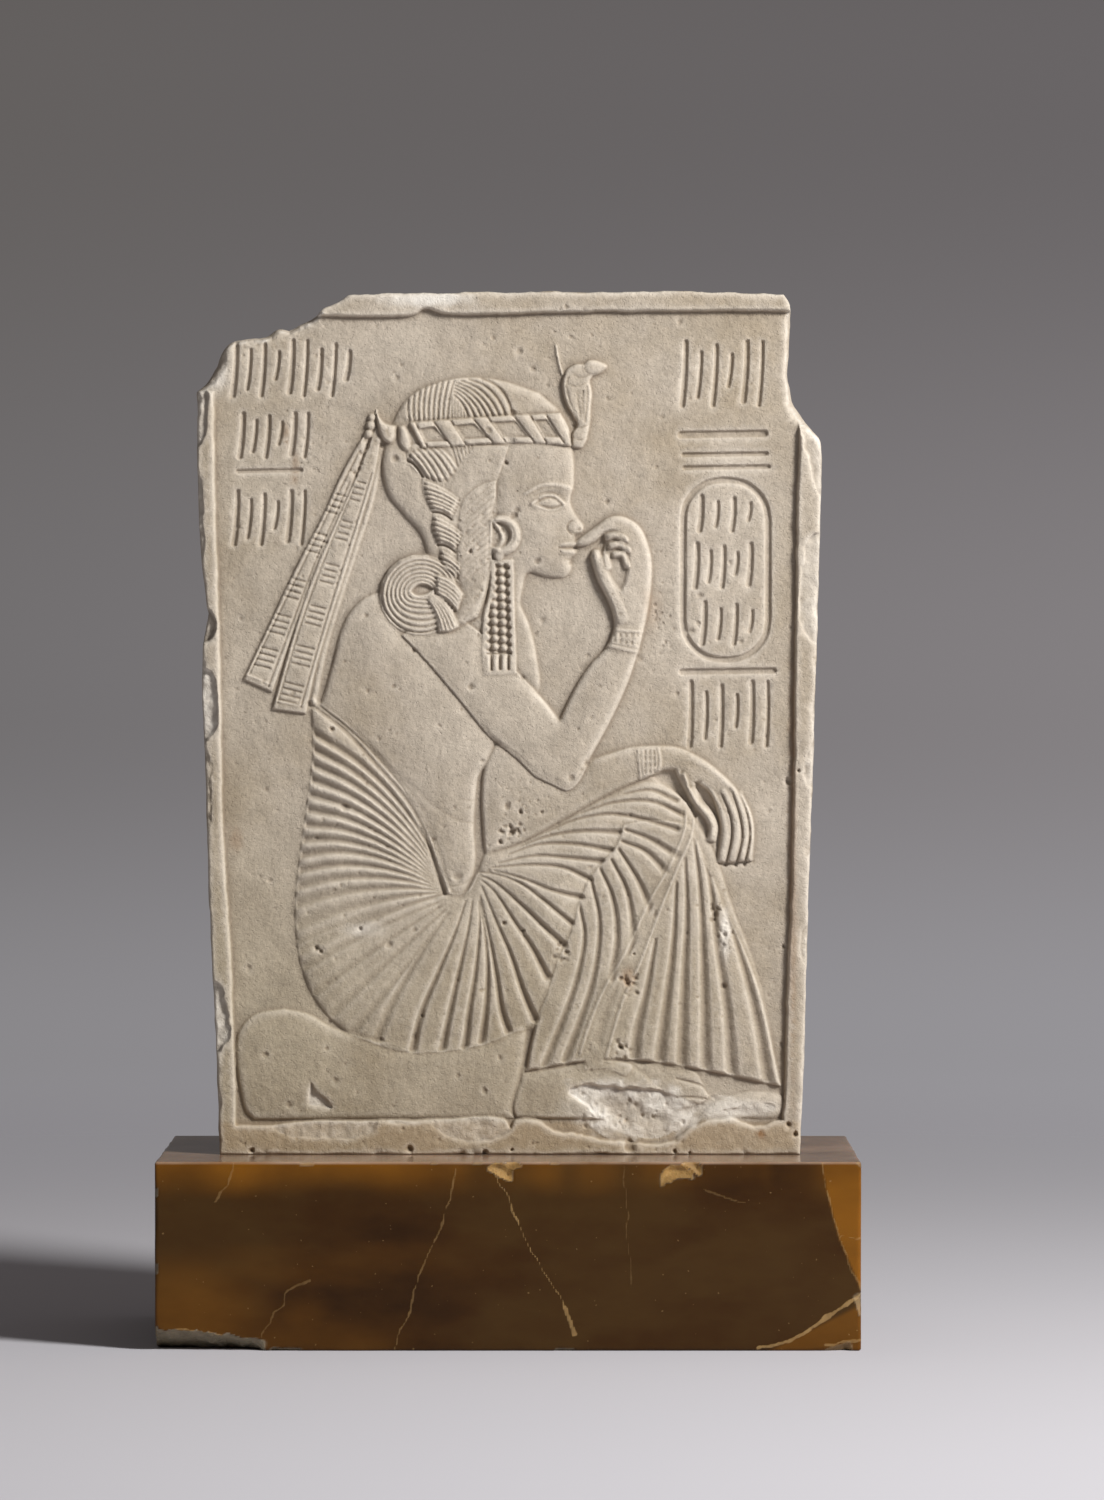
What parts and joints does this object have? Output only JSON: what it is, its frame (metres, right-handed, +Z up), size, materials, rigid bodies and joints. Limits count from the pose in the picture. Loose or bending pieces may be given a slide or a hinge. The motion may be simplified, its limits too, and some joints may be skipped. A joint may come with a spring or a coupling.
{
  "type": "stele",
  "caption": "Small limestone stele with a seated figure in low relief inside a raised border, chipped at its upper corners, standing on a brown onyx block.",
  "frame": {"origin": "middle of the onyx block's underside", "axes": "+Z up; the carved front faces -Y; +X is the viewer's right"},
  "size_m": [0.1456, 0.074, 0.219],
  "materials": {
    "limestone": "matt, fine grained, worn",
    "onyx": "polished, banded, slightly translucent"
  },
  "bodies": {
    "root": {"limestone_stele": "limestone", "onyx_base": "onyx"}
  },
  "joints": []
}
